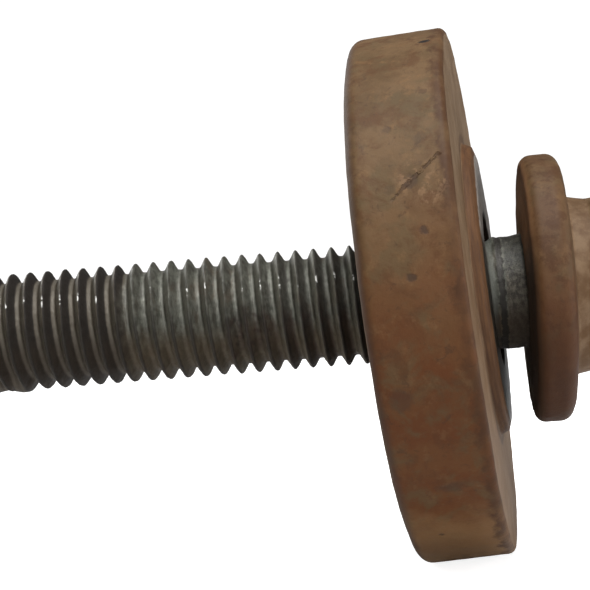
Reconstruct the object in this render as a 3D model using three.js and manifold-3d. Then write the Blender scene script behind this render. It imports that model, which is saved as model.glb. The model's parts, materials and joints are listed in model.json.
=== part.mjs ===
// A hex flange bolt with a heavy stepped washer hanging loose on its thread.
// Millimetres. The bolt's axis is X, with the head towards +X and the thread's tip towards -X, and +Z is up.
// The origin is on the bolt's axis, in the plane of the flange's bearing face.
import * as THREE from "three";
import { mergeVertices } from "three/addons/utils/BufferGeometryUtils.js";
import Module from "manifold-3d";

const wasm = await Module();
wasm.setup();

// ---- Bolt: thread and shank ----
const THREAD_DIAMETER = 10; // nominal
const THREAD_PITCH = 1.5; // right-hand
const CREST_WEAR = 0.22; // what the crest diameter is under nominal
const ROOT_DEPTH = 0.92; // from the nominal diameter down to the root
const CREST_SHARE = 0.14; // the crest flat's and the root flat's share of one pitch
const ROOT_SHARE = 0.24;
const BOLT_LENGTH = 50; // tip to bearing face
const TIP_INSET = 0.08; // the flat end's radius under the root's, inside its 45 degree chamfer
const SHANK_UNDERSIZE = 0.8; // the plain stretch's diameter under nominal
const SHANK_LENGTH = 1.5;
const SHANK_OVERLAP = 0.4; // how far the thread's rod runs on inside the shank
const RUN_OUT = 1.2; // over which the thread fades into the shank
const SHANK_FILLET = 0.4; // under the flange

// ---- Bolt: flange and head ----
const FLANGE_DIAMETER = 22;
const FLANGE_THICKNESS = 3.7; // bearing face to the foot of the hexagon's skirt
const FLANGE_FRONT_ROUND = 0.7; // rim, on the bearing side
const FLANGE_BACK_ROUND = 1.8; // rim, on the head side, along the axis
const FLANGE_BACK_REACH = 3.2; // the same round, across the axis
const HEX_SIDES = 6;
const ACROSS_FLATS = 14;
const HEX_HEIGHT = 6.8; // above the flange
const HEX_CHAMFER_RISE = 0.8; // how far the corner chamfer comes down the corners
const HEX_TOP_SHARE = 0.94; // the top circle's diameter as a share of the across-flats size
const SKIRT_RADIUS = 0.6; // concave round from the flange up to the hexagon
const SKIRT_HEIGHT = 1.5;
const CORNER_RISE = 0.7; // from the skirt's top up to where the corners are full

// ---- Washer ----
const WASHER_DIAMETER = 43.2;
const WASHER_THICKNESS = 7.7;
const WASHER_FRONT_ROUND = 0.6; // rim edge on the boss's side
const WASHER_BACK_ROUND = 1.1; // rim edge on the clamping side
const BORE_CLEARANCE = 2; // bore diameter over the nominal thread diameter
const BORE_CHAMFER = 0.4;
const BOSS_DIAMETER = 24;
const BOSS_HEIGHT = 0.95;
const BOSS_CHAMFER = 1.1; // across the axis
const BOSS_BREAK = 0.25; // share of the chamfer at which it turns from steep to shallow
const WASHER_TILT_UP = THREE.MathUtils.degToRad(3); // its axis leans up towards the head
const WASHER_TILT_SIDE = THREE.MathUtils.degToRad(4.65); // and towards -Y
const WASHER_LIFT = 0.1; // its centre above the bolt's axis
const WASHER_TO_FLANGE = 1.5; // clear space left at the boss's nearest edge

// ---- Fineness ----
const THREAD_STEPS = 20; // columns round the thread
const TURN_STEPS = 56; // sides of a turned surface
const ARC_STEPS = 4; // chords in a quarter round
const WELD = 1e-4; // corners closer than this become one
const THREAD_WELD = 1e-3; // the same, for the thread's grid

const TURN = 2 * Math.PI;
const QUARTER = Math.PI / 2;

const crestRadius = (THREAD_DIAMETER - CREST_WEAR) / 2;
const rootRadius = THREAD_DIAMETER / 2 - ROOT_DEPTH;
const tipRadius = rootRadius - TIP_INSET;
const shankRadius = (THREAD_DIAMETER - SHANK_UNDERSIZE) / 2;
const flangeRadius = FLANGE_DIAMETER / 2;
const flatRadius = ACROSS_FLATS / 2;
const cornerRadius = flatRadius / Math.cos(Math.PI / HEX_SIDES);

const forgedSteel = new THREE.MeshStandardMaterial({
  color: 0x6b665f,
  roughness: 0.55,
  metalness: 0.8,
});
const rustySteel = new THREE.MeshStandardMaterial({
  color: 0x76583c,
  roughness: 0.85,
  metalness: 0.2,
});

// ---- Shared helpers ----

// Points of a quarter ellipse about (radius, along), from one angle to another, both ends included.
function arc(radius, along, reach, rise, from, to) {
  return Array.from({ length: ARC_STEPS + 1 }, (_, i) => {
    const angle = from + ((to - from) * i) / ARC_STEPS;
    return [radius + reach * Math.cos(angle), along + rise * Math.sin(angle)];
  });
}

// A profile of [radius, along X] points turned about X.
function turned(profile, steps = TURN_STEPS) {
  const points = profile.map(([radius, along]) => new THREE.Vector2(radius, along));
  return new THREE.LatheGeometry(points, steps).rotateZ(-QUARTER);
}

function toSolid(geometry) {
  const bare = geometry.clone();
  bare.deleteAttribute("normal");
  bare.deleteAttribute("uv");
  const merged = mergeVertices(bare, WELD);
  return new wasm.Manifold(
    new wasm.Mesh({
      numProp: 3,
      vertProperties: merged.getAttribute("position").array,
      triVerts: new Uint32Array(merged.index.array),
    }),
  );
}

function toGeometry(solid) {
  const { vertProperties, triVerts } = solid.getMesh();
  const geometry = new THREE.BufferGeometry();
  geometry.setAttribute("position", new THREE.BufferAttribute(vertProperties, 3));
  geometry.setIndex(new THREE.BufferAttribute(triVerts, 1));
  geometry.computeVertexNormals();
  return geometry;
}

// ---- Bolt ----

// The thread's corners within one pitch: [share of the pitch, radius].
const flankShare = (1 - CREST_SHARE - ROOT_SHARE) / 2;
const threadCorners = [
  [0, rootRadius],
  [ROOT_SHARE, rootRadius],
  [ROOT_SHARE + flankShare, crestRadius],
  [1 - flankShare, crestRadius],
];

// The thread's radius at a share of the way through one pitch.
function profileRadius(share) {
  const corners = [...threadCorners, [1, rootRadius]];
  const next = Math.max(1, corners.findIndex(([place]) => place >= share));
  const [startShare, startRadius] = corners[next - 1];
  const [endShare, endRadius] = corners[next];
  return THREE.MathUtils.mapLinear(share, startShare, endShare, startRadius, endRadius);
}

// One solid from the tip to just inside the plain shank, its surface a sheared grid that follows the helix.
function threadedRod() {
  const tip = -BOLT_LENGTH;
  const shankEnd = -SHANK_LENGTH;
  const end = shankEnd + SHANK_OVERLAP;
  const perTurn = threadCorners.length;
  const turns = Math.ceil((end - tip) / THREAD_PITCH) + 1;
  const rows = perTurn * (turns + 1);

  function corner(column, row) {
    const lap = Math.floor(row / perTurn) - 1;
    const advance = lap + threadCorners[row % perTurn][0] + column / THREAD_STEPS;
    const along = THREE.MathUtils.clamp(tip + THREAD_PITCH * advance, tip, end);
    const phase = (along - tip) / THREAD_PITCH - column / THREAD_STEPS;
    const fade = THREE.MathUtils.smoothstep(along, shankEnd - RUN_OUT, shankEnd);
    const threaded = THREE.MathUtils.lerp(profileRadius(phase - Math.floor(phase)), shankRadius, fade);
    const radius = Math.min(threaded, tipRadius + along - tip);
    const angle = (TURN * column) / THREAD_STEPS;
    return [along, radius * Math.cos(angle), radius * Math.sin(angle)];
  }

  const positions = [];
  const triangle = (...corners) => positions.push(...corners.flat());
  for (let column = 0; column < THREAD_STEPS; column++) {
    // The last column meets the first one turn further on.
    const last = column + 1 === THREAD_STEPS;
    const beside = (row) => (last ? corner(0, row + perTurn) : corner(column + 1, row));
    for (let row = 0; row < rows; row++) {
      const a = corner(column, row);
      const b = beside(row);
      const c = beside(row + 1);
      const d = corner(column, row + 1);
      triangle(a, b, c);
      triangle(a, c, d);
    }
    triangle([tip, 0, 0], beside(0), corner(column, 0));
    triangle([end, 0, 0], corner(column, rows), beside(rows));
  }
  const geometry = new THREE.BufferGeometry();
  geometry.setAttribute("position", new THREE.Float32BufferAttribute(positions, 3));
  return withoutSlivers(mergeVertices(geometry, THREAD_WELD));
}

// Drops the triangles that merging has folded to a line.
function withoutSlivers(geometry) {
  const { array } = geometry.index;
  const kept = [];
  for (let i = 0; i < array.length; i += 3) {
    const [a, b, c] = array.slice(i, i + 3);
    if (a !== b && b !== c && c !== a) kept.push(a, b, c);
  }
  geometry.setIndex(kept);
  return geometry;
}

// Plain shank, flange and the concave skirt under the hexagon, turned in one profile.
function flangeAndShank() {
  const skirtFoot = flatRadius + SKIRT_RADIUS;
  const backReach = Math.min(FLANGE_BACK_REACH, flangeRadius - skirtFoot);
  return turned([
    [0, -SHANK_LENGTH],
    [shankRadius, -SHANK_LENGTH],
    ...arc(shankRadius + SHANK_FILLET, -SHANK_FILLET, SHANK_FILLET, SHANK_FILLET, Math.PI, QUARTER),
    ...arc(
      flangeRadius - FLANGE_FRONT_ROUND,
      FLANGE_FRONT_ROUND,
      FLANGE_FRONT_ROUND,
      FLANGE_FRONT_ROUND,
      -QUARTER,
      0,
    ),
    ...arc(
      flangeRadius - backReach,
      FLANGE_THICKNESS - FLANGE_BACK_ROUND,
      backReach,
      FLANGE_BACK_ROUND,
      0,
      QUARTER,
    ),
    ...arc(skirtFoot, FLANGE_THICKNESS + SKIRT_HEIGHT, SKIRT_RADIUS, SKIRT_HEIGHT, -QUARTER, -Math.PI),
    [0, FLANGE_THICKNESS + SKIRT_HEIGHT],
  ]);
}

// The hexagon, with two flats level. Its corners are chamfered at the top and grow out of the skirt below.
function hexagon() {
  const top = FLANGE_THICKNESS + HEX_HEIGHT;
  const sunk = FLANGE_THICKNESS / 2;
  const prism = new THREE.CylinderGeometry(cornerRadius, cornerRadius, top - sunk, HEX_SIDES);
  prism.rotateZ(-QUARTER).rotateX(QUARTER).translate((top + sunk) / 2, 0, 0);
  const topRadius = HEX_TOP_SHARE * flatRadius;
  const chamferSlope = HEX_CHAMFER_RISE / (cornerRadius - topRadius);
  const cornerSlope = CORNER_RISE / (cornerRadius - flatRadius);
  const skirtTop = FLANGE_THICKNESS + SKIRT_HEIGHT;
  const widest = cornerRadius + SKIRT_RADIUS;
  const envelope = turned([
    [0, skirtTop - cornerSlope * flatRadius],
    [widest, skirtTop + cornerSlope * (widest - flatRadius)],
    [widest, top - chamferSlope * (widest - topRadius)],
    [topRadius, top],
    [0, top],
  ]);
  return toSolid(prism).intersect(toSolid(envelope));
}

function hexFlangeBolt() {
  const solid = toSolid(threadedRod()).add(toSolid(flangeAndShank())).add(hexagon());
  const mesh = new THREE.Mesh(toGeometry(solid), forgedSteel);
  mesh.name = "hex_flange_bolt";
  return mesh;
}

// ---- Washer ----

// Turned about its own X axis, with its middle plane at X = 0 and the boss towards +X.
function steppedWasher() {
  const radius = WASHER_DIAMETER / 2;
  const boreRadius = (THREAD_DIAMETER + BORE_CLEARANCE) / 2;
  const bossRadius = BOSS_DIAMETER / 2;
  const front = WASHER_THICKNESS / 2;
  const back = -front;
  const boss = front + BOSS_HEIGHT;
  const profile = [
    [boreRadius, back + BORE_CHAMFER],
    [boreRadius + BORE_CHAMFER, back],
    ...arc(
      radius - WASHER_BACK_ROUND,
      back + WASHER_BACK_ROUND,
      WASHER_BACK_ROUND,
      WASHER_BACK_ROUND,
      -QUARTER,
      0,
    ),
    ...arc(
      radius - WASHER_FRONT_ROUND,
      front - WASHER_FRONT_ROUND,
      WASHER_FRONT_ROUND,
      WASHER_FRONT_ROUND,
      0,
      QUARTER,
    ),
    [bossRadius, front],
    [bossRadius - BOSS_CHAMFER * BOSS_BREAK, boss - BOSS_HEIGHT * BOSS_BREAK],
    [bossRadius - BOSS_CHAMFER, boss],
    [boreRadius + BORE_CHAMFER, boss],
    [boreRadius, boss - BORE_CHAMFER],
  ];
  const mesh = new THREE.Mesh(turned([...profile, profile[0]]), rustySteel);
  mesh.name = "stepped_washer";
  return mesh;
}

// The washer hangs tilted, its boss's nearest edge clear of the flange.
function hungWasher() {
  const group = new THREE.Group();
  group.add(steppedWasher());
  group.rotation.set(0, -WASHER_TILT_UP, -WASHER_TILT_SIDE);
  const tilt = Math.acos(Math.cos(WASHER_TILT_UP) * Math.cos(WASHER_TILT_SIDE));
  const edgeRadius = BOSS_DIAMETER / 2 - BOSS_CHAMFER;
  const reach = (WASHER_THICKNESS / 2 + BOSS_HEIGHT) * Math.cos(tilt) + edgeRadius * Math.sin(tilt);
  group.position.set(-WASHER_TO_FLANGE - reach, 0, WASHER_LIFT);
  return group;
}

const part = new THREE.Group();
part.add(hexFlangeBolt());
part.add(hungWasher());

export default part;
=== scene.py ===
"""Looks, light and camera for a hex flange bolt with a heavy stepped washer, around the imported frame.

Lengths are in millimetres and turned into metres when a mesh or a light is made. The bolt's axis is X.
Angles in materials are degrees round that axis from the top, and colours are 0 to 255 display colours.
"""
import json
import math

import bpy
import numpy as np
from mathutils import Euler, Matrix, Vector, noise


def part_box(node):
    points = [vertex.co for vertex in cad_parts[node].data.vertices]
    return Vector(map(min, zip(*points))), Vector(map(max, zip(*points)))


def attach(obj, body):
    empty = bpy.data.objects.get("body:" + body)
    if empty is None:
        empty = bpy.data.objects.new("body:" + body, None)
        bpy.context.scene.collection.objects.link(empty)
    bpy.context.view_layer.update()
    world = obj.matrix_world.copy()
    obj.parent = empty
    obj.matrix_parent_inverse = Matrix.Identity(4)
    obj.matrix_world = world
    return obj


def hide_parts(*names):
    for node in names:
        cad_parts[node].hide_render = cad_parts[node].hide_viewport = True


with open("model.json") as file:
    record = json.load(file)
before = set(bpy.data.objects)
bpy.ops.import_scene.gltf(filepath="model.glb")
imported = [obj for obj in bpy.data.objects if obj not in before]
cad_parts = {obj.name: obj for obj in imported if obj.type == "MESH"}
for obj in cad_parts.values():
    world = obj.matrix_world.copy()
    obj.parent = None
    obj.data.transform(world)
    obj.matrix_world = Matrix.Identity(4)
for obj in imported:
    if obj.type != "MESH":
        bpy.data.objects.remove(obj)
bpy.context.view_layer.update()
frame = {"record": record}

MM = 0.001
TURN = 2 * math.pi
DEGREES = 360 / TURN

# ---- Places taken from the frame ----
bolt_low, bolt_high = (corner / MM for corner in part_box("hex_flange_bolt"))
washer_low, washer_high = (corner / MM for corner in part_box("stepped_washer"))
mounts = {mount["name"]: mount for mount in frame["record"]["mounts"]}

TIP = bolt_low.x
HEAD_TOP = bolt_high.x
FLANGE_RADIUS = bolt_high.z
FLAT_RADIUS = mounts["spanner_flat"]["pos_m"][2] / MM
WASHER_CENTRE = (washer_low + washer_high) / 2
WASHER_AXIS = -Vector(mounts["washer_clamping_face"]["axis"])

# ---- Thread ----
PITCH = 1.5
CREST_RADIUS = 4.95
ROOT_RADIUS = 4.15
FLANK_SLOPE = 1.73  # rise over run, for a 60 degree thread
CREST_AT = 0.65  # share of a pitch, counted from the tip, at which the crest stands
CREST_HALF = 0.08
CREST_SOFTNESS = 0.1
ROOT_SOFTNESS = 0.13
RUN_OUT = 2.2  # over this length the thread fades out
RUN_OUT_STOP = 0.4  # and it has gone this far short of the shank
GROOVE_AT = -2.0  # the shallow groove where the thread runs out
GROOVE_HALF = 0.28
GROOVE_DEPTH = 0.06
TIP_RADIUS = 4.0
THREAD_LUMPS = ((0.04, 1.1), (0.03, 3.1))  # height and noise scale

# ---- Dirt caked in the thread underneath ----
DIRT_AT = -43.3
DIRT_HALF = 2.6
DIRT_RADIUS = 4.97
DIRT_DIP_AT = -43.8  # between two of its lumps
DIRT_LUMP = 0.13
DIRT_SPACING = 3.0
DIRT_THICKNESS = 1.2  # how far it falls away beyond its edges
DIRT_ROUND = (0.2, 0.9)  # radians from straight down, from its thickest part to its edge
DIRT_SOFTNESS = 0.1

# ---- Shank, flange and head ----
SHANK_RADIUS = 4.63
SHANK_LENGTH = 1.5
SHANK_FILLET = 0.2
FLANGE_THICKNESS = 3.5  # where its coned back meets the collar
RIM_THICKNESS = 3.1  # where the cone starts
FRONT_ROUND = 0.95
BACK_ROUND = 1.15
BACK_ROUND_END = 0.9  # in quarter turns, where the cone takes over
BEARING_FACE = -0.05
STEEL_BEFORE = 0.12  # in front of the bearing face by this much, everything is thread or shank
FLANGE_LEAN = math.radians(0.95)
LEAN_INSIDE = 1.5  # the lean sets in this far inside the hexagon and is full this far inside the rim
COLLAR_FLARE = 0.36
COLLAR_HEIGHT = 1.8
COLLAR_STEP = 0.1  # between the foot of the cone and the foot of the collar, both ways
COLLAR_SOFTNESS = 0.02
ROD_DROP = 0.13  # how far the rod's axis starts under the flange's
ROD_SLOPE = 0.002  # and how fast it comes back up
HEX_LIFT = 0.02  # how far the hexagon's axis is over the flange's
HEX_LIFT_ALONG = (2.5, 4.5)
HEX_SIDES = 6
CORNER_GROWTH = 1.6  # how fast the hexagon's corners grow out of the collar
HEX_CORNER_ROUND = 0.25
HEX_EDGE_SOFTNESS = 0.06
HEX_CHAMFER_RISE = 0.8
HEX_TOP_SHARE = 0.94
LEAST_COSINE = 0.3  # keeps a side that faces away out of the hexagon's outline
HEAD_LUMPS = ((0.05, 0.35), (0.02, 1.3))

# ---- Washer ----
WASHER_RADIUS = 21.65
WASHER_HALF = 3.85
BACK_EDGE_ROUND = 1.1
FRONT_EDGE_ROUND = 0.6
BORE_RADIUS = 6.0
BORE_CHAMFER = 0.4
BOSS_RADIUS = 12.0
BOSS_HEIGHT = 0.95
BOSS_CHAMFER = 1.1
BOSS_BREAK = 4  # the chamfer turns from steep to shallow at one part in this many
BOSS_FOOT_ROUND = 0.2
WASHER_LUMPS = ((0.06, 0.18), (0.025, 0.9))

# ---- Mesh fineness ----
BOLT_COLUMNS = 192
PITCH_ROWS = 16
HEAD_ROW = 0.2
TOP_ROWS = 28
TIP_ROWS = 14
WASHER_COLUMNS = 320
PROFILE_STEP = 0.22
SHARP_ANGLE = math.radians(50)
WELD_DECIMALS = 5

# ---- Colours, as they look when lit ----
# Rust, on both pieces.
DUSTY_TAN = (111, 84, 53)
DUSTY_BROWN = (96, 71, 41)
RUDDY_BROWN = (104, 62, 23)
RUDDY_RUST = (100, 53, 10)
OLIVE = (93, 75, 46)
RUST = (84, 47, 13)
PALE_TAN = (127, 94, 58)
SPECK = (68, 43, 22)
# Washer.
# Painted bounce light: the rim is painted lighter underneath, most of all at the bottom.
RIM_PAINTED_BOUNCE = (150, 113, 74)
RIM_PAINTED_BOUNCE_LOWEST = (200, 162, 120)
# Darker rust along the rim's front edge, carried over the rounded edge as painted shade.
RIM_FRONT_RUST_AND_SHADE = (72, 41, 12)
# Painted shade along the rim's rear rounded edge.
RIM_REAR_SHADE = (70, 43, 24)
MARK_BROWN = (62, 44, 32)
FLECK_TAN = (150, 116, 84)
SCRATCH_BROWN = (68, 44, 24)
PIT_BLACK = (24, 14, 8)
BACK_LIGHT = (142, 111, 80)
BACK_DARK = (118, 87, 57)
FACE_LIGHT = (142, 117, 90)
FACE_DARK = (116, 90, 62)
BOSS_FOOT = (80, 53, 30)
BOSS_WALL_LIGHT = (98, 64, 33)
BOSS_WALL_DARK = (74, 45, 20)
BARE_BRIGHT = (196, 188, 180)
BARE_DULL = (140, 130, 120)
BARE_PITTED = (58, 50, 42)
# Painted shade on the bottom of the boss's bare face.
BARE_SHADE_BLACK = (32, 28, 23)
BARE_SHADE_FLECKS = (70, 66, 58)
# Painted shade inside the bore.
BORE_SHADE = (44, 34, 28)
# Flange and head.
HEAD_TINT = (78, 54, 34)
HEAD_BLOTCH = (70, 38, 8)
HUB_TOP_LIGHT = (132, 107, 80)
HUB_TOP_DARK = (100, 73, 47)
# Painted light: lighter copies of the hub's colours for its sides and underside.
PAINTED_LIT_HUB_PALE = (172, 142, 112)
PAINTED_LIT_HUB_DEEP = (136, 104, 72)
# Painted shade in the crease where the flange's back meets the collar.
HUB_CREASE_SHADE = (70, 50, 36)
# Painted shade on the underside of the flange.
FLANGE_UNDER_SHADE = (66, 42, 28)
FLANGE_RED = (80, 42, 14)
BEARING_TOP = (168, 122, 84)
BEARING_LOW = (84, 64, 48)
# Thread and shank.
STEEL_DARK = (78, 79, 69)
STEEL_LIGHT = (112, 112, 101)
STEEL_SOILED = (54, 48, 39)
STEEL_BRIGHT = (130, 130, 118)
BROWN_DARK = (74, 61, 46)
BROWN_LIGHT = (102, 90, 74)
GRIME = (29, 21, 14)
CREASE_GRIME = (52, 42, 34)
# Painted light on the flank that faces the tip.
TIP_FLANK_PAINTED_LIGHT = (134, 130, 116)
ROOT_GREY = (110, 102, 90)
BESIDE_LINE_GREY = (50, 46, 38)
# Painted highlight along the thread's roots.
ROOT_HIGHLIGHT_GREY = (136, 135, 126)
MUD_DARK = (72, 58, 40)
MUD_LIGHT = (112, 94, 70)
MUD_GRIMY = (48, 37, 28)
# Painted shade over the crests' highlight, with dirt on the crests underneath.
CREST_DIRT_AND_SHADE = (33, 26, 19)
OIL_BLACK = (30, 22, 17)
OIL_BROWN = (56, 34, 24)
GLINT_WHITE = (255, 255, 250)
SHANK_DULL_TOP = (44, 42, 36)
SHANK_DULL_SIDE = (58, 52, 43)
SHANK_LIGHT_TOP = (78, 77, 67)
SHANK_LIGHT_SIDE = (104, 97, 84)
SHANK_UNDER = (86, 70, 54)
# Painted shade in the groove where the thread runs out.
GROOVE_SHADE = (34, 28, 22)
LAST_CREST_GREY = (112, 114, 106)

# ---- Where the looks change: each pair is where a change starts and where it is complete ----
# Height over the axis.
RUDDY_TO_DUSTY = (-7, 11)
# Angles down either side, from the top.
RIM_BOUNCE_FROM = (132, 150)
RIM_BOUNCE_LOWEST_FROM = (150, 172)
BOSS_SHADE_FROM = (58, 70)
HUB_PAINTED_LIGHT_FROM = (60, 130)
FLANGE_SHADE_FROM = (95, 140)
FLANGE_RED_FROM = (78, 112)
BEARING_LOW_FROM = (50, 85)
SHANK_SIDE_FROM = (55, 90)
SHANK_UNDER_FROM = (95, 125)
MUD_FROM = (92, 124)
ROOT_HIGHLIGHT_FADES = (82, 112)
CREST_DARKER_FROM = (76, 96)
SOOT_BLACK_FROM = (86, 104)
LAST_CREST_FADES = (100, 125)
# Distance from the axis.
BARE_TO = (10.9, 11.1)
HUB_TO = (8.3, 9.2)
FLANGE_FROM = (8.6, 9.4)
# Along the bolt.
SOOTY_FROM = (-21.5, -19.5)
GRIMY_TO = (-33.4, -32.4)
THREAD_TO = (-2.9, -2.5)
SHANK_FROM = (-1.75, -1.55)
TIP_FACE_TO = (TIP + 0.2, TIP + 0.4)
# Shares of a pitch past the crest, just before and just after it.
CREST_DARK_BEFORE = (0.86, 0.93)
CREST_DARK_AFTER = (0.06, 0.12)
GLINT_BEFORE = (0.94, 0.98)
GLINT_AFTER = (0.02, 0.05)

# ---- Where marks lie: each pair is a mark's two edges ----
HUB_CREASE_SHADE_RADII = (7.5, 8.6)
LAST_CREST = (-2.95, -2.5)
GLINT_ANGLES = (57, 67)
# Shares of a pitch past the crest.
GRIMY_FLANK = (-0.06, 0.38)
SOOTY_FLANK = (0.0, 0.45)
ROOT = (0.4, 0.58)
ROOT_LINE = (0.48, 0.56)
BESIDE_LINE = (0.6, 0.7)
CREASE = (0.68, 0.76)
TIP_FLANK = (0.7, 0.94)
SOOT_SHIFT = 0.06  # how much further past the crest all of these lie where the thread is sooty
# The oily stain.
STAIN_AT = -22.8
STAIN_HALF = 2.4
STAIN_ANGLE = 112
STAIN_SPREAD = 30

# Marks on the washer's rim: along its axis, angle, size, stretch round the rim, strength.
RIM_MARKS = (
    (0.07, 85.8, 0.42, 1.5, 1.0),
    (1.38, 77.3, 0.3, 1.0, 1.0),
    (-1.1, 146, 0.2, 1.0, 1.0),
    (-1.9, 109, 0.8, 1.0, 0.6),
    (0.4, 130, 0.9, 1.8, 0.6),
    (1.8, 58, 0.5, 1.0, 0.5),
    (-0.6, 55, 0.35, 1.0, 0.6),
    (0.8, 67.4, 0.5, 1.0, 0.8),
    (-0.8, 68.5, 0.4, 1.0, 0.4),
)
FLECKS = (1.6, 68, 1.6)
PIT = (2.45, 25, 0.42, 1.4)
SCRATCH_START = (-0.7, 70.6)
SCRATCH_END = (3.05, 62.2)
SCRATCH_WIDTH = 0.15

# ---- View and light ----
SENSOR = 36
LENS = 100.5
NEAREST = 0.01  # metres
VIEW_TURN = math.radians(4.45)  # the head's end comes towards the camera
VIEW_ROLL = math.radians(4.8)  # the bolt rises to the right
VIEW_DISTANCE = 137.4
AIM_ALONG = -19.07  # where the middle of the view meets the bolt
AIM_RISE = 1.14
LIGHT_LEVEL = 1.9  # how many times brighter than its own colour a lit surface looks
FLOOR_SIZE = 3000
FLOOR_GAP = 0.05
FLOOR_GREY = 0.6
FLOOR_ROUGHNESS = 0.9
FLOOR_GLOW = 0.85  # what the camera sees of the floor before any light falls on it
SKY_SEEN = 1.1  # the world's brightness to the camera
SKY_LIGHT = 0.2  # and as light on the pieces
WHITE = (1, 1, 1, 1)
SOFTBOXES = (  # place, width, watts
    ("key", (60, -180, 460), 220, 4.8),
    ("front", (60, -520, 60), 300, 1.2),
    ("right", (540, -60, 100), 200, 1.7),
    ("back", (-420, 330, 220), 300, 2.0),
)


# ======== Mesh helpers ========

def arc(radius, along, reach, rise, start, end):
    """Points (radius, along) of a quarter ellipse about a centre, angles in quarter turns."""
    count = max(3, math.ceil(math.hypot(reach, rise) / PROFILE_STEP))
    angles = np.linspace(start, end, count + 1) * math.pi / 2
    return [(radius + reach * math.cos(a), along + rise * math.sin(a)) for a in angles]


def fine(profile):
    """The profile with points added so that no stretch is longer than PROFILE_STEP."""
    points = [profile[0]]
    for near, far in zip(profile, profile[1:]):
        count = max(1, math.ceil(math.dist(near, far) / PROFILE_STEP))
        for i in range(1, count + 1):
            points.append(tuple(a + (b - a) * i / count for a, b in zip(near, far)))
    return np.array(points)


def soft_min(a, b, softness):
    """The smaller of a and b, with the corner between them rounded."""
    blend = np.clip(0.5 + (b - a) / (2 * softness), 0, 1)
    return b + (a - b) * blend - softness * blend * (1 - blend)


def soft_max(a, b, softness):
    return -soft_min(-np.asarray(a), -np.asarray(b), softness)


def smooth_step(value, low, high):
    share = np.clip((value - low) / (high - low), 0, 1)
    return share * share * (3 - 2 * share)


def lumpiness(place, lumps):
    """How far a surface stands out here, from lumps given as (height, noise scale)."""
    return sum(height * noise.noise(place * scale) for height, scale in lumps)


def grid_faces(rows, columns, lap, start):
    """Quads of a grid that closes round X.

    lap is how many rows further on the last column meets the first.
    """
    row, column = np.meshgrid(np.arange(rows - 1), np.arange(columns), indexing="ij")
    wraps = column + 1 == columns
    beside = np.where(wraps, 0, column + 1)
    shift = np.where(wraps, lap, 0)

    def index(r, c):
        return start + np.minimum(r, rows - 1) * columns + c

    corners = [(row, column), (row + shift, beside), (row + 1 + shift, beside), (row + 1, column)]
    return np.stack([index(r, c) for r, c in corners], -1).reshape(-1, 4)


def round_mesh(name, grids, wear):
    """One closed mesh about X from grids of (along, radius, lap).

    Its points are welded and then moved by wear(place, normal), which returns the new place.
    """
    points, faces, start = [], [], 0
    for along, radius, lap in grids:
        rows, columns = along.shape
        angle = TURN * np.arange(columns) / columns
        points.append(np.stack([along, radius * np.cos(angle), radius * np.sin(angle)], -1).reshape(-1, 3))
        faces.append(grid_faces(rows, columns, lap, start))
        start += rows * columns
    points = np.concatenate(points)
    faces = np.concatenate(faces)
    rounded = np.round(points, WELD_DECIMALS)
    _, first, weld = np.unique(rounded, axis=0, return_index=True, return_inverse=True)
    points, faces = points[first], weld.reshape(-1)[faces]
    faces = [list(dict.fromkeys(face)) for face in faces.tolist()]
    faces = [face for face in faces if len(face) > 2]
    mesh = bpy.data.meshes.new(name)
    mesh.from_pydata(points * MM, [], faces)
    mesh.validate()
    normals = np.empty(len(mesh.vertices) * 3)
    mesh.vertices.foreach_get("normal", normals)
    normals = normals.reshape(-1, 3)
    moved = np.array([wear(Vector(p), Vector(n)) for p, n in zip(points, normals)])
    mesh.vertices.foreach_set("co", (moved * MM).ravel())
    mesh.polygons.foreach_set("use_smooth", np.ones(len(mesh.polygons), bool))
    mesh.set_sharp_from_angle(angle=SHARP_ANGLE)
    mesh.update()
    return mesh


def add_piece(name, mesh, node, materials):
    piece = bpy.data.objects.new(name, mesh)
    bpy.context.scene.collection.objects.link(piece)
    for material in materials:
        mesh.materials.append(material)
    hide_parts(node)
    return piece


# ======== Node helpers ========

def paint(red, green, blue):
    """The linear colour that looks like this display colour under the lamps used here."""
    def linear(value):
        share = value / 255
        return (share / 12.92 if share <= 0.04045 else ((share + 0.055) / 1.055) ** 2.4) / LIGHT_LEVEL
    return (linear(red), linear(green), linear(blue), 1.0)


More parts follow.
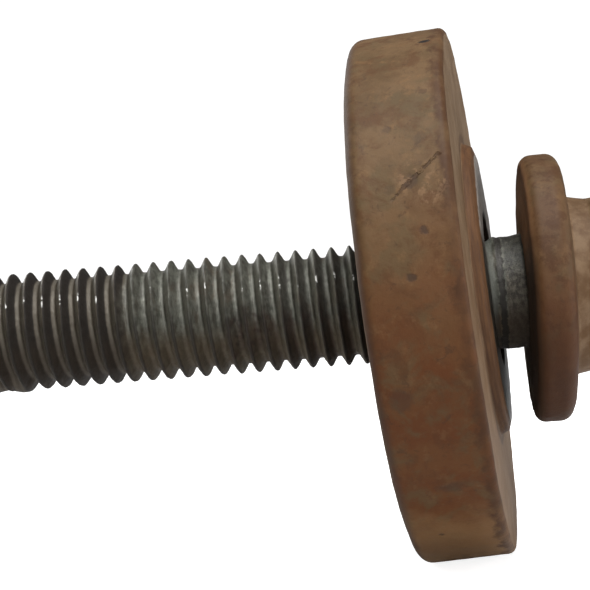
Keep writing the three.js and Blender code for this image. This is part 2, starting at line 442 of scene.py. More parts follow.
class Graph:
    """Adds shader nodes to one material; every value may be a number or another node's output."""

    def __init__(self, name):
        self.material = bpy.data.materials.new(name)
        self.material.use_nodes = True
        self.tree = self.material.node_tree
        self.tree.nodes.clear()
        coordinates = self.add("ShaderNodeTexCoord").outputs["Object"]
        self.place = self.vector("SCALE", coordinates, scale=1 / MM)
        self.x, self.y, self.z = self.add("ShaderNodeSeparateXYZ", Vector=self.place).outputs
        self.radius = self.length(self.y, self.z)
        # Degrees round the axis from the top, counted down the side that faces the viewer.
        near = self.math("MULTIPLY", self.y, -1)
        self.angle = self.math("MULTIPLY", self.math("ARCTAN2", near, self.z), DEGREES)
        # The same down either side.
        self.down = self.math("ABSOLUTE", self.angle)

    def add(self, kind, settings=None, **inputs):
        node = self.tree.nodes.new(kind)
        for key, value in (settings or {}).items():
            setattr(node, key, value)
        for key, value in inputs.items():
            self.put(node.inputs[key.replace("_", " ")], value)
        return node

    def put(self, socket, value):
        if isinstance(value, bpy.types.NodeSocket):
            self.tree.links.new(value, socket)
        else:
            socket.default_value = value

    def math(self, operation, *values):
        node = self.add("ShaderNodeMath", {"operation": operation})
        for socket, value in zip(node.inputs, values):
            self.put(socket, value)
        return node.outputs[0]

    def length(self, a, b):
        squares = [self.math("MULTIPLY", side, side) for side in (a, b)]
        return self.math("SQRT", self.math("ADD", *squares))

    def less(self, a, b):
        return self.math("SUBTRACT", a, b)

    def times(self, *values):
        product = values[0]
        for value in values[1:]:
            product = self.math("MULTIPLY", product, value)
        return product

    def most(self, *values):
        largest = values[0]
        for value in values[1:]:
            largest = self.math("MAXIMUM", largest, value)
        return largest

    def vector(self, operation, a, b=None, scale=None):
        node = self.add("ShaderNodeVectorMath", {"operation": operation})
        self.put(node.inputs[0], a)
        if b is not None:
            self.put(node.inputs[1], b)
        if scale is not None:
            self.put(node.inputs["Scale"], scale)
        return node.outputs[0]

    def stretch(self, x, y, z):
        """The place in millimetres, scaled unevenly so that noise on it is drawn out."""
        return self.vector("MULTIPLY", self.place, (x, y, z))

    def noise(self, scale, detail=5, rough=0.65, distortion=0.0, place=None, seed=0.0):
        moved = self.vector("ADD", place or self.place, (seed, seed * 0.7, -seed))
        return self.add(
            "ShaderNodeTexNoise",
            Vector=moved, Scale=scale, Detail=detail, Roughness=rough, Distortion=distortion,
        ).outputs["Fac"]

    def band(self, value, low, high, start=0.0, end=1.0):
        """start below low, end above high, smooth between."""
        return self.add(
            "ShaderNodeMapRange",
            {"interpolation_type": "SMOOTHSTEP"},
            Value=value, From_Min=low, From_Max=high, To_Min=start, To_Max=end,
        ).outputs[0]

    def under(self, value, low, high):
        """1 below low, 0 above high, smooth between."""
        return self.band(value, low, high, 1, 0)

    def between(self, value, low, high, soft):
        """1 between low and high, 0 outside, with soft edges."""
        over = self.band(value, low - soft, low + soft)
        return self.times(over, self.under(value, high - soft, high + soft))

    def waver(self, value, by, scale, seed):
        """The value shifted to and fro by noise, so that an edge drawn on it is ragged."""
        shift = self.less(self.noise(scale, detail=4, seed=seed), 0.5)
        return self.math("ADD", value, self.math("MULTIPLY", shift, 2 * by))

    def mix(self, share, a, b):
        """Colour a where share is 0, b where it is 1; either may be a display colour."""
        node = self.add("ShaderNodeMix", {"data_type": "RGBA"})
        self.put(node.inputs[0], share)
        for index, value in ((6, a), (7, b)):
            self.put(node.inputs[index], paint(*value) if isinstance(value, tuple) else value)
        return node.outputs[2]

    def coat(self, colour, over, *shares):
        """The colour with another over it, as thick as the product of the shares."""
        return self.mix(self.times(*shares), colour, over)

    def blend(self, share, a, b):
        """Number a where share is 0, b where it is 1."""
        node = self.add("ShaderNodeMix", {"data_type": "FLOAT"})
        for index, value in ((0, share), (2, a), (3, b)):
            self.put(node.inputs[index], value)
        return node.outputs[0]

    def finish(self, colour, roughness, metallic, height, depth, specular):
        """The surface shader; depth is what a height of 1 stands for, in millimetres."""
        bump = self.add("ShaderNodeBump", Strength=1.0, Distance=depth * MM, Height=height)
        shader = self.add(
            "ShaderNodeBsdfPrincipled",
            Base_Color=colour, Roughness=roughness, Metallic=metallic, Normal=bump.outputs[0],
            Specular_IOR_Level=specular,
        )
        output = self.add("ShaderNodeOutputMaterial")
        self.tree.links.new(shader.outputs[0], output.inputs[0])
        return self.material


# ======== Rust ========

def rusty_colour(g):
    """Dull brown steel: greyish and tan patches, rust in blotches, small dark specks."""
    dusty = g.mix(g.band(g.noise(0.25, rough=0.6, distortion=0.2), 0.4, 0.6), DUSTY_TAN, DUSTY_BROWN)
    ruddy = g.mix(g.band(g.noise(0.3, distortion=0.2, seed=5), 0.4, 0.6), RUDDY_BROWN, RUDDY_RUST)
    below = g.under(g.waver(g.z, by=7, scale=0.12, seed=40), *RUDDY_TO_DUSTY)
    colour = g.mix(below, dusty, ruddy)
    olive = g.band(g.noise(0.35, distortion=0.4, seed=7), 0.48, 0.64)
    colour = g.coat(colour, OLIVE, olive, 0.6)
    rust = g.band(g.noise(0.4, detail=6, rough=0.7, distortion=0.3, seed=19), 0.48, 0.64)
    colour = g.coat(colour, RUST, rust, 0.55)
    light = g.band(g.noise(0.8, seed=23), 0.54, 0.7)
    colour = g.coat(colour, PALE_TAN, light, g.blend(below, 0.5, 0.3))
    specks = g.band(g.noise(1.1, rough=0.7, distortion=0.6, seed=31), 0.56, 0.68)
    return g.coat(colour, SPECK, specks, 0.5)


def rusty_height(g):
    grain = g.noise(5.0, detail=4, rough=0.7)
    lumps = g.noise(1.0, detail=4, rough=0.6, seed=3)
    return g.math("ADD", g.math("MULTIPLY", grain, 0.2), lumps)


# ======== Washer's material ========

def rim_spot(g, along, angle, size, stretch=1.0):
    """1 inside a ragged spot on the washer's rim at this height along the axis and angle from the top."""
    across = g.less(g.x, along)
    round_rim = g.math("MULTIPLY", g.less(g.angle, angle), WASHER_RADIUS / DEGREES * stretch)
    away = g.waver(g.length(across, round_rim), by=size, scale=0.8 / size, seed=along + angle)
    return g.under(away, size * 0.6, size * 1.4)


def rim_scratch(g, start, end, width):
    """1 along a ragged line on the washer's rim between two (along, angle) places."""
    per_degree = WASHER_RADIUS / DEGREES
    run = Vector((end[0] - start[0], (end[1] - start[1]) * per_degree))
    step = run.normalized()
    across = g.less(g.x, start[0])
    down = g.math("MULTIPLY", g.less(g.angle, start[1]), per_degree)
    forward = g.math("ADD", g.times(across, step.x), g.times(down, step.y))
    aside = g.less(g.times(across, step.y), g.times(down, step.x))
    aside = g.waver(aside, by=width * 2, scale=1.2, seed=61)
    aside = g.math("ABSOLUTE", g.waver(aside, by=width * 1.5, scale=4.0, seed=63))
    return g.times(g.under(aside, width * 0.5, width * 1.2), g.between(forward, 0, run.length, 0.3))


def rim_colour(g, colour):
    """The rim, with painted bounce light underneath, darker rust towards its front edge that carries on as
    painted shade over the rounded edge, and painted shade along its rear edge.
    """
    rim = g.band(g.radius, WASHER_RADIUS - 0.7, WASHER_RADIUS - 0.3)
    # Painted bounce light from the floor: lighter underneath and lightest at the bottom.
    lower = g.band(g.waver(g.down, by=10, scale=0.3, seed=33), *RIM_BOUNCE_FROM)
    colour = g.coat(colour, RIM_PAINTED_BOUNCE, lower, rim, 0.7)
    colour = g.coat(colour, RIM_PAINTED_BOUNCE_LOWEST, g.band(g.down, *RIM_BOUNCE_LOWEST_FROM), rim, 0.7)
    # Darker rust in patches near the front edge, carried over the rounded edge as painted shade that hides
    # its highlight.
    front = g.band(g.waver(g.x, by=1.3, scale=0.7, seed=13), WASHER_HALF - 1.25, WASHER_HALF - 0.55)
    front = g.times(front, g.band(g.radius, WASHER_RADIUS - 0.65, WASHER_RADIUS - 0.5))
    patches = g.band(g.noise(0.5, detail=4, rough=0.6, seed=15), 0.34, 0.62, 0.3, 0.9)
    colour = g.coat(colour, RIM_FRONT_RUST_AND_SHADE, front, patches)
    # Painted shade along the rear rounded edge, which faces away from the lamps.
    rear = g.under(g.waver(g.x, by=0.4, scale=0.5, seed=17), 0.25 - WASHER_HALF, 0.95 - WASHER_HALF)
    return g.coat(colour, RIM_REAR_SHADE, rear, 0.7)


def rim_marks(g, colour):
    """Spots, flecks, a scratch and a pit on the rim; also how deep they are cut."""
    marks = g.most(*(g.times(rim_spot(g, *spot), strength) for *spot, strength in RIM_MARKS))
    colour = g.coat(colour, MARK_BROWN, marks, 0.7)
    flecks = g.band(g.noise(1.2, detail=4, rough=0.7, seed=47), 0.5, 0.62)
    colour = g.coat(colour, FLECK_TAN, rim_spot(g, *FLECKS), flecks, 0.5)
    scratch = rim_scratch(g, SCRATCH_START, SCRATCH_END, SCRATCH_WIDTH)
    scratch = g.times(scratch, g.band(g.noise(1.3, detail=4, rough=0.6, seed=57), 0.36, 0.5))
    colour = g.coat(colour, SCRATCH_BROWN, scratch, 0.7)
    pit = rim_spot(g, *PIT)
    colour = g.coat(colour, PIT_BLACK, pit)
    depth = g.most(g.times(scratch, 0.6), pit, g.times(marks, 0.15))
    return colour, g.math("MULTIPLY", depth, -2.5)


def boss_face_colour(g):
    """Bare metal, rubbed bright and pitted above, with painted shade below."""
    pitted = g.band(g.noise(2.2, rough=0.75, seed=53), 0.5, 0.64)
    rubbed = g.mix(g.noise(0.7, detail=4, rough=0.6, seed=77), BARE_BRIGHT, BARE_DULL)
    rubbed = g.coat(rubbed, BARE_PITTED, pitted, 0.8)
    # Painted shade: at the bottom the bare face is painted near black, its pits a little lighter.
    oily = g.mix(pitted, BARE_SHADE_BLACK, BARE_SHADE_FLECKS)
    return g.mix(g.band(g.waver(g.down, by=9, scale=0.6, seed=75), *BOSS_SHADE_FROM), rubbed, oily)


def washer_material():
    g = Graph("washer_rusty_steel")
    colour = rim_colour(g, rusty_colour(g))

    smear = g.band(g.noise(0.35, seed=29), 0.34, 0.66)
    back = g.under(g.x, 0.05 - WASHER_HALF, 0.15 - WASHER_HALF)
    colour = g.coat(colour, g.mix(smear, BACK_LIGHT, BACK_DARK), back, 0.6)
    colour, cuts = rim_marks(g, colour)

    face = g.band(g.x, WASHER_HALF - 0.14, WASHER_HALF - 0.05)
    face = g.times(face, g.under(g.radius, WASHER_RADIUS - 0.6, WASHER_RADIUS - 0.5))
    colour = g.coat(colour, g.mix(smear, FACE_LIGHT, FACE_DARK), face, 0.75)
    foot = g.waver(g.radius, by=0.25, scale=0.8, seed=37)
    foot = g.between(foot, BOSS_RADIUS + 0.1, BOSS_RADIUS + 0.9, 0.15)
    colour = g.coat(colour, BOSS_FOOT, foot, face, 0.6)

    turned_lines = g.noise(1.6, detail=4, rough=0.7, place=g.stretch(2.5, 0.15, 0.15), seed=43)
    wall = g.mix(g.band(turned_lines, 0.35, 0.65), BOSS_WALL_LIGHT, BOSS_WALL_DARK)
    colour = g.coat(colour, wall, g.under(g.radius, BOSS_RADIUS, BOSS_RADIUS + 0.15), face)
    bare = g.band(g.x, WASHER_HALF + BOSS_HEIGHT - 0.15, WASHER_HALF + BOSS_HEIGHT - 0.03)
    bare = g.times(bare, g.under(g.radius, *BARE_TO))
    colour = g.coat(colour, boss_face_colour(g), bare)
    # Painted shade inside the bore and on its chamfers.
    bore = g.under(g.radius, BORE_RADIUS + 0.3, BORE_RADIUS + 0.6)
    colour = g.coat(colour, BORE_SHADE, bore, 0.8)

    height = g.math("ADD", rusty_height(g), cuts)
    roughness = g.blend(bare, 0.66, 0.4)
    return g.finish(colour, roughness, g.times(bare, 0.15), height, depth=0.05, specular=0.2)


# ======== Bolt's materials ========

def head_material():
    g = Graph("bolt_rusty_head")
    colour = g.coat(rusty_colour(g), HEAD_TINT, 0.3)
    blotches = g.band(g.noise(0.55, detail=6, rough=0.7, distortion=0.1, seed=101), 0.5, 0.62)
    colour = g.coat(colour, HEAD_BLOTCH, blotches, 0.6)

    mottled = g.band(g.noise(0.6, seed=3), 0.36, 0.62)
    hub_top = g.mix(mottled, HUB_TOP_LIGHT, HUB_TOP_DARK)
    # Painted light: the hub's sides and underside get lighter copies of its colours.
    painted_lit_hub = g.mix(mottled, PAINTED_LIT_HUB_PALE, PAINTED_LIT_HUB_DEEP)
    hub = g.coat(hub_top, painted_lit_hub, g.band(g.down, *HUB_PAINTED_LIGHT_FROM), 0.8)
    colour = g.coat(colour, hub, g.under(g.radius, *HUB_TO), 0.75)
    # Painted shade in the crease where the flange's back meets the collar.
    colour = g.coat(colour, HUB_CREASE_SHADE, g.between(g.radius, *HUB_CREASE_SHADE_RADII, 0.2), 0.6)

    flange = g.band(g.radius, *FLANGE_FROM)
    # Painted shade: the flange is painted darker underneath.
    colour = g.coat(colour, FLANGE_UNDER_SHADE, g.band(g.down, *FLANGE_SHADE_FROM), flange, 0.5)
    reddened = g.band(g.waver(g.down, by=14, scale=0.35, seed=47), *FLANGE_RED_FROM)
    colour = g.coat(colour, FLANGE_RED, reddened, flange, 0.4)
    bearing = g.mix(g.band(g.down, *BEARING_LOW_FROM), BEARING_TOP, BEARING_LOW)
    colour = g.coat(colour, bearing, g.under(g.waver(g.x, by=0.15, scale=1.0, seed=9), 0.1, 0.75), 0.8)
    return g.finish(colour, 0.66, 0.0, rusty_height(g), depth=0.05, specular=0.2)


def pitches_past_crest(g):
    """Share of a pitch past the crest: 0 on a crest, then the flank that faces the head, the root at 0.5."""
    turned = g.math("DIVIDE", g.math("ARCTAN2", g.z, g.y), TURN)
    pitches = g.math("DIVIDE", g.less(g.x, TIP + CREST_AT * PITCH), PITCH)
    return g.math("FRACT", g.less(pitches, turned))


def plain_steel(g, grain):
    drawn = g.noise(1.8, rough=0.7, place=g.stretch(2.0, 0.4, 0.4), seed=13)
    steel = g.mix(g.band(grain, 0.38, 0.62), STEEL_DARK, STEEL_LIGHT)
    steel = g.coat(steel, STEEL_SOILED, g.band(drawn, 0.5, 0.6), 0.65)
    return g.coat(steel, STEEL_BRIGHT, g.band(drawn, 0.42, 0.34), 0.5)


def stain_mask(g):
    """1 inside the patchy, oily stain low on the thread."""
    along = g.math("DIVIDE", g.less(g.x, STAIN_AT), STAIN_HALF)
    round_thread = g.math("DIVIDE", g.less(g.angle, STAIN_ANGLE), STAIN_SPREAD)
    stain = g.waver(g.length(along, round_thread), by=0.7, scale=0.7, seed=97)
    patches = g.band(g.noise(1.1, rough=0.7, seed=111), 0.36, 0.52, 1, 0.35)
    return g.times(g.under(stain, 0.7, 1.1), patches)


def shank_colour(g, grain):
    """Grainy grey steel, browner underneath."""
    side = g.band(g.down, *SHANK_SIDE_FROM)
    dull = g.mix(side, SHANK_DULL_TOP, SHANK_DULL_SIDE)
    light = g.mix(side, SHANK_LIGHT_TOP, SHANK_LIGHT_SIDE)
    rough_steel = g.mix(g.band(grain, 0.4, 0.62), dull, light)
    return g.coat(rough_steel, SHANK_UNDER, g.band(g.down, *SHANK_UNDER_FROM), 0.6)


def thread_material():
    g = Graph("bolt_thread_steel")
    grain = g.noise(3.0, rough=0.75, place=g.stretch(1.0, 0.6, 0.6), seed=2)
    sooty = g.band(g.waver(g.x, by=1.0, scale=0.5, seed=79), *SOOTY_FROM)
    grimy = g.under(g.waver(g.x, by=1.2, scale=0.35, seed=83), *GRIMY_TO)
    past = g.waver(pitches_past_crest(g), by=0.05, scale=1.2, seed=71)
    past = g.less(past, g.times(sooty, SOOT_SHIFT))
    off_tip = g.band(g.x, *TIP_FACE_TO)
    threaded = g.times(g.under(g.x, *THREAD_TO), off_tip)

    brown = g.band(g.noise(0.3, rough=0.7, distortion=0.6, seed=11), 0.5, 0.68)
    brown = g.most(g.times(grimy, 0.75), g.times(brown, 0.7))
    colour = g.coat(plain_steel(g, grain), g.mix(grain, BROWN_DARK, BROWN_LIGHT), brown)

    # Grime lies from the crest down the flank that faces the head; the roots are lighter, with a painted
    # highlight along each.
    grime = g.times(g.between(past, *GRIMY_FLANK, 0.05), threaded)
    soiled = g.blend(sooty, g.blend(grimy, 0.12, 0.95), 0.6)
    colour = g.coat(colour, GRIME, grime, soiled)
    colour = g.coat(colour, CREASE_GRIME, g.between(past, *CREASE, 0.04), threaded, grimy, 0.6)
    # Painted light: the flank that faces the tip is painted a lighter grey.
    painted_light_tip_flank = g.between(past, *TIP_FLANK, 0.05)
    colour = g.coat(colour, TIP_FLANK_PAINTED_LIGHT, painted_light_tip_flank, threaded, g.blend(grimy, 0.4, 0.25))
    streaks = g.band(g.noise(1.3, rough=0.7, place=g.stretch(1.5, 0.5, 0.5), seed=21), 0.36, 0.62)
    # The roots are painted a lighter, streaky grey where the thread is grimy.
    lighter_root = g.times(g.between(past, *ROOT, 0.08), threaded, grimy)
    colour = g.coat(colour, ROOT_GREY, lighter_root, g.blend(streaks, 0.3, 0.75))
    colour = g.coat(colour, BESIDE_LINE_GREY, g.between(past, *BESIDE_LINE, 0.03), threaded, 0.4)
    # Painted highlight along each root, fading out underneath.
    line = g.times(g.between(past, *ROOT_LINE, 0.03), threaded, g.band(g.down, *ROOT_HIGHLIGHT_FADES, 1, 0.15))
    colour = g.coat(colour, ROOT_HIGHLIGHT_GREY, line, g.blend(grimy, 0.55, 0.15))

    # Underneath it is muddy. The crests are darkened: painted shade that tones down their highlight, with
    # dirt making them darker underneath.
    low = g.times(g.band(g.waver(g.down, by=14, scale=0.4, seed=91), *MUD_FROM), off_tip)
    mud = g.mix(grain, MUD_DARK, MUD_LIGHT)
    mud = g.coat(mud, MUD_GRIMY, grimy, 0.7)
    colour = g.coat(colour, mud, low, g.blend(grimy, 0.7, 0.5))
    crest = g.most(g.band(past, *CREST_DARK_BEFORE), g.under(past, *CREST_DARK_AFTER))
    crest_darkening = g.band(g.waver(g.down, by=8, scale=0.5, seed=35), *CREST_DARKER_FROM, 0.25, 0.8)
    colour = g.coat(colour, CREST_DIRT_AND_SHADE, crest, threaded, crest_darkening)

    black_from = g.band(g.waver(g.down, by=12, scale=0.5, seed=73), *SOOT_BLACK_FROM)
    blackened = g.times(sooty, black_from, g.between(past, *SOOTY_FLANK, 0.05))
    oil = g.mix(streaks, OIL_BLACK, OIL_BROWN)
    colour = g.coat(colour, oil, g.most(stain_mask(g), g.times(blackened, 0.6)), 0.88)

    on_crest = g.most(g.band(past, *GLINT_BEFORE), g.under(past, *GLINT_AFTER))
    glint = g.times(on_crest, threaded, g.between(g.angle, *GLINT_ANGLES, 3))
    here_and_there = g.band(g.noise(1.6, detail=3, rough=0.6, seed=59), 0.54, 0.58)
    colour = g.coat(colour, GLINT_WHITE, glint, here_and_there)

    colour = g.coat(colour, shank_colour(g, grain), g.band(g.x, *SHANK_FROM))
    # Painted shade in the shallow groove where the thread runs out.
    groove = g.waver(g.x, by=0.35, scale=2.0, seed=89)
    groove = g.between(groove, GROOVE_AT - 0.3, GROOVE_AT + 0.25, 0.06)
    colour = g.coat(colour, GROOVE_SHADE, groove, 0.9)
    last_crest = g.between(g.waver(g.x, by=0.08, scale=1.0, seed=67), *LAST_CREST, 0.12)
    colour = g.coat(colour, LAST_CREST_GREY, last_crest, g.band(g.down, *LAST_CREST_FADES, 0.6, 0.1))

    height = g.noise(5.0, rough=0.75, place=g.stretch(1.0, 0.8, 0.8))
    roughness = g.blend(g.most(grime, low), 0.42, 0.7)
    return g.finish(colour, roughness, 0.3, height, depth=0.07, specular=0.35)


# ======== Bolt ========

def thread_radius(turns):
    """The thread's radius, turns pitches past a crest, with rounded roots and crests."""
    from_crest = np.abs(turns - np.round(turns)) * PITCH
    flank = CREST_RADIUS - FLANK_SLOPE * (from_crest - CREST_HALF)
    return soft_min(soft_max(flank, ROOT_RADIUS, ROOT_SOFTNESS), CREST_RADIUS, CREST_SOFTNESS)


def dirt_radius(along, share):
    """The radius of the caked dirt that bridges a few roots underneath; share is of a turn from +Y."""
    off_bottom = np.abs((share - 0.75 + 0.5) % 1 - 0.5) * TURN
    heap = 1 - smooth_step(np.abs(along - DIRT_AT), DIRT_HALF / 2, DIRT_HALF)
    lumps = DIRT_LUMP * np.cos(TURN * ((along - DIRT_DIP_AT) / DIRT_SPACING + 0.5))
    falls = DIRT_THICKNESS * smooth_step(off_bottom, *DIRT_ROUND)
    return DIRT_RADIUS + lumps - falls - DIRT_THICKNESS * (1 - heap)


def thread_grid():
    """The thread from the tip to the plain shank, its rows following the helix."""
    end = -SHANK_LENGTH
    turns = math.ceil((end - TIP) / PITCH) + 2
    rows = PITCH_ROWS * turns + 1
    row, column = np.meshgrid(np.arange(rows), np.arange(BOLT_COLUMNS), indexing="ij")
    share = column / BOLT_COLUMNS
    along = np.clip(TIP + PITCH * (row / PITCH_ROWS - 1 + share), TIP, end)
    radius = thread_radius((along - TIP) / PITCH - share - CREST_AT)
    fade = smooth_step(along, end - RUN_OUT, end - RUN_OUT_STOP)
    radius = radius + (SHANK_RADIUS - radius) * fade
    groove = 1 - smooth_step(np.abs(along - GROOVE_AT), 0, GROOVE_HALF)
    radius = radius - GROOVE_DEPTH * groove
    radius = soft_max(radius, dirt_radius(along, share), DIRT_SOFTNESS)
    return along, np.minimum(radius, TIP_RADIUS + along - TIP), PITCH_ROWS


def hex_radius():
    """Distance from the axis to the hexagon's side for each column, with rounded corners."""
    angle = TURN * np.arange(BOLT_COLUMNS) / BOLT_COLUMNS
    facing = [np.cos(angle - TURN * (k + 0.5) / HEX_SIDES) for k in range(HEX_SIDES)]
    sides = [FLAT_RADIUS / np.maximum(cosine, LEAST_COSINE) for cosine in facing]
    radius = sides[0]
    for side in sides[1:]:
        radius = soft_min(radius, side, HEX_CORNER_ROUND)
    return radius


def flange_profile():
    """Points (radius, along) of the plain shank, its fillet and the flange up to the collar's foot."""
    front = FLANGE_RADIUS - FRONT_ROUND
    back = FLANGE_RADIUS - BACK_ROUND
    return fine([
        (SHANK_RADIUS, -SHANK_LENGTH),
        *arc(SHANK_RADIUS + SHANK_FILLET, BEARING_FACE - SHANK_FILLET, SHANK_FILLET, SHANK_FILLET, 2, 1),
        *arc(front, BEARING_FACE + FRONT_ROUND, FRONT_ROUND, FRONT_ROUND, -1, 0),
        *arc(back, RIM_THICKNESS - BACK_ROUND, BACK_ROUND, BACK_ROUND, 0, BACK_ROUND_END),
        (FLAT_RADIUS + COLLAR_FLARE + COLLAR_STEP, FLANGE_THICKNESS),
    ])


def head_grid():
    """Shank, flange, collar, hexagon and top, each row a ring whose radius may change round the axis."""
    ring = np.ones(BOLT_COLUMNS)
    hexagon = hex_radius()
    rows = [(ring * along, ring * radius) for radius, along in flange_profile()]
    # The collar narrows to the hexagon's flats, and the hexagon's corners grow out of its upper part.
    top_radius = HEX_TOP_SHARE * FLAT_RADIUS
    slope = HEX_CHAMFER_RISE / (FLAT_RADIUS / math.cos(TURN / 2 / HEX_SIDES) - top_radius)
    for along in np.arange(FLANGE_THICKNESS + COLLAR_STEP, HEAD_TOP, HEAD_ROW):
        up = along - FLANGE_THICKNESS
        collar = FLAT_RADIUS + COLLAR_FLARE * max(1 - up / COLLAR_HEIGHT, 0)
        corner_limit = collar + np.maximum(up - COLLAR_HEIGHT, 0) * CORNER_GROWTH
        side = soft_min(hexagon, corner_limit, HEX_EDGE_SOFTNESS)
        side = soft_max(side, np.where(up < COLLAR_HEIGHT, collar, 0), COLLAR_SOFTNESS)
        cone = top_radius + (HEAD_TOP - along) / slope
        rows.append((ring * along, soft_min(side, cone, HEX_EDGE_SOFTNESS)))
    for radius in np.linspace(top_radius, 0, TOP_ROWS):
        rows.append((ring * HEAD_TOP, ring * radius))
    along, radius = (np.array(part) for part in zip(*rows))
    # The flange was forged a degree out of square, its upper edge leaning towards the head's top.
    height = radius * np.sin(TURN * np.arange(BOLT_COLUMNS) / BOLT_COLUMNS)
    lean = math.tan(FLANGE_LEAN) * (height + FLANGE_RADIUS)
    leaning = smooth_step(radius, FLAT_RADIUS - LEAN_INSIDE, FLANGE_RADIUS - LEAN_INSIDE)
    return along + lean * leaning, radius, 0


def tip_grid():
    """The flat end."""
    radius = np.linspace(0, TIP_RADIUS, TIP_ROWS)[:, None] * np.ones(BOLT_COLUMNS)
    return np.full_like(radius, TIP), radius, 0


def bolt_wear(place, normal):
    """Where a point of the bolt ends up.

    The head gets forging lumps and the thread nicks, and the axes of rod, flange and hexagon part a little.
    """
    lump = lumpiness(place, HEAD_LUMPS if place.x > 0 else THREAD_LUMPS)
    rise = HEX_LIFT * smooth_step(place.x, *HEX_LIFT_ALONG)
    rise = rise - ROD_DROP * smooth_step(-place.x, 0, 1) + ROD_SLOPE * max(-place.x, 0)
    return place + normal * lump + Vector((0, 0, rise))


def make_bolt():
    mesh = round_mesh("bolt_body", [tip_grid(), thread_grid(), head_grid()], bolt_wear)
    materials = [thread_material(), head_material()]
    piece = add_piece("bolt_body", mesh, "hex_flange_bolt", materials)
    # Thread and shank have the first material, flange and head the second.
    shank_edge = SHANK_RADIUS + SHANK_FILLET
    for face in mesh.polygons:
        centre = face.center / MM
        inside = centre.x < FLANGE_THICKNESS and math.hypot(centre.y, centre.z) < shank_edge
        face.material_index = 0 if inside or centre.x < BEARING_FACE - STEEL_BEFORE else 1
    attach(piece, "bolt")


# ======== Washer ========

def washer_grid():
    """The washer's closed section, turned round its own axis."""
    back = WASHER_RADIUS - BACK_EDGE_ROUND
    front = WASHER_RADIUS - FRONT_EDGE_ROUND
    boss = WASHER_HALF + BOSS_HEIGHT
    foot = BOSS_FOOT_ROUND
    points = fine([
        (BORE_RADIUS, -WASHER_HALF + BORE_CHAMFER),
        (BORE_RADIUS + BORE_CHAMFER, -WASHER_HALF),
        *arc(back, -WASHER_HALF + BACK_EDGE_ROUND, BACK_EDGE_ROUND, BACK_EDGE_ROUND, -1, 0),
        *arc(front, WASHER_HALF - FRONT_EDGE_ROUND, FRONT_EDGE_ROUND, FRONT_EDGE_ROUND, 0, 1),
        *arc(BOSS_RADIUS + foot, WASHER_HALF + foot, foot, foot, 3, 2),
        (BOSS_RADIUS - BOSS_CHAMFER / BOSS_BREAK, boss - BOSS_HEIGHT / BOSS_BREAK),
        (BOSS_RADIUS - BOSS_CHAMFER, boss),
        (BORE_RADIUS + BORE_CHAMFER, boss),
        (BORE_RADIUS, boss - BORE_CHAMFER),
        (BORE_RADIUS, -WASHER_HALF + BORE_CHAMFER),
    ])
    ring = np.ones(WASHER_COLUMNS)
    return points[:, 1:] * ring, points[:, :1] * ring, 0


def washer_wear(place, normal):
    return place + normal * lumpiness(place, WASHER_LUMPS)


def make_washer():
    mesh = round_mesh("washer_body", [washer_grid()], washer_wear)
    piece = add_piece("washer_body", mesh, "stepped_washer", [washer_material()])
    up = math.asin(WASHER_AXIS.z)
    side = math.atan2(WASHER_AXIS.y, WASHER_AXIS.x)
    piece.rotation_euler = Euler((0, -up, side))
    piece.location = WASHER_CENTRE * MM
    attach(piece, "washer")


# ======== Stage ========

def make_camera():
    camera = bpy.data.objects.new("camera", bpy.data.cameras.new("camera"))
    bpy.context.scene.collection.objects.link(camera)
    camera.data.sensor_width = SENSOR
    camera.data.lens = LENS
    camera.data.clip_start = NEAREST
    turned = Euler((0, 0, VIEW_TURN)).to_matrix() @ Euler((math.pi / 2, 0, 0)).to_matrix()
    turned = turned @ Euler((0, 0, -VIEW_ROLL)).to_matrix()
    camera.rotation_euler = turned.to_euler()
    camera.location = (Vector((AIM_ALONG, 0, 0)) + turned @ Vector((0, AIM_RISE, VIEW_DISTANCE))) * MM
    bpy.context.scene.camera = camera


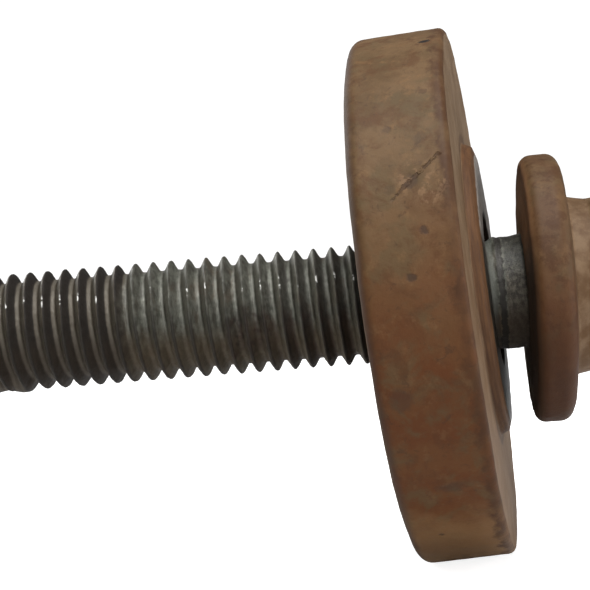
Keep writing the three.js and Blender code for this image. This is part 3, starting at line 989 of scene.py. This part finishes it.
def floor_material():
    """Pale grey that also glows for the camera alone, so that it looks white without lighting the pieces."""
    material = bpy.data.materials.new("pale_floor")
    material.use_nodes = True
    tree = material.node_tree
    shader = tree.nodes["Principled BSDF"]
    shader.inputs["Base Color"].default_value = (FLOOR_GREY, FLOOR_GREY, FLOOR_GREY, 1)
    shader.inputs["Roughness"].default_value = FLOOR_ROUGHNESS
    shader.inputs["Emission Color"].default_value = WHITE
    path = tree.nodes.new("ShaderNodeLightPath")
    glow = tree.nodes.new("ShaderNodeMath")
    glow.operation = "MULTIPLY"
    glow.inputs[1].default_value = FLOOR_GLOW
    tree.links.new(path.outputs["Is Camera Ray"], glow.inputs[0])
    tree.links.new(glow.outputs[0], shader.inputs["Emission Strength"])
    return material


def make_floor():
    half = FLOOR_SIZE / 2
    level = washer_low.z - FLOOR_GAP
    corners = [(-half, -half, level), (half, -half, level), (half, half, level), (-half, half, level)]
    mesh = bpy.data.meshes.new("floor")
    mesh.from_pydata([Vector(corner) * MM for corner in corners], [], [(0, 1, 2, 3)])
    mesh.materials.append(floor_material())
    floor = bpy.data.objects.new("floor", mesh)
    bpy.context.scene.collection.objects.link(floor)


def add_softbox(name, place, width, power):
    light = bpy.data.lights.new(name, "AREA")
    light.shape = "SQUARE"
    light.size = width * MM
    light.energy = power
    lamp = bpy.data.objects.new(name, light)
    lamp.location = Vector(place) * MM
    aim = Vector((AIM_ALONG, 0, 0)) - Vector(place)
    lamp.rotation_euler = aim.to_track_quat("-Z", "Y").to_euler()
    bpy.context.scene.collection.objects.link(lamp)


def make_sky():
    """A white surround for the camera that gives the pieces only a little light."""
    world = bpy.data.worlds.new("world")
    bpy.context.scene.world = world
    world.use_nodes = True
    tree = world.node_tree
    seen = tree.nodes["Background"]
    seen.inputs["Color"].default_value = WHITE
    seen.inputs["Strength"].default_value = SKY_SEEN
    ambient = tree.nodes.new("ShaderNodeBackground")
    ambient.inputs["Color"].default_value = WHITE
    ambient.inputs["Strength"].default_value = SKY_LIGHT
    path = tree.nodes.new("ShaderNodeLightPath")
    mix = tree.nodes.new("ShaderNodeMixShader")
    tree.links.new(path.outputs["Is Camera Ray"], mix.inputs[0])
    tree.links.new(ambient.outputs[0], mix.inputs[1])
    tree.links.new(seen.outputs[0], mix.inputs[2])
    tree.links.new(mix.outputs[0], tree.nodes["World Output"].inputs[0])


make_camera()
make_floor()
for softbox in SOFTBOXES:
    add_softbox(*softbox)
make_sky()
make_bolt()
make_washer()
bpy.context.scene.view_settings.view_transform = "Standard"
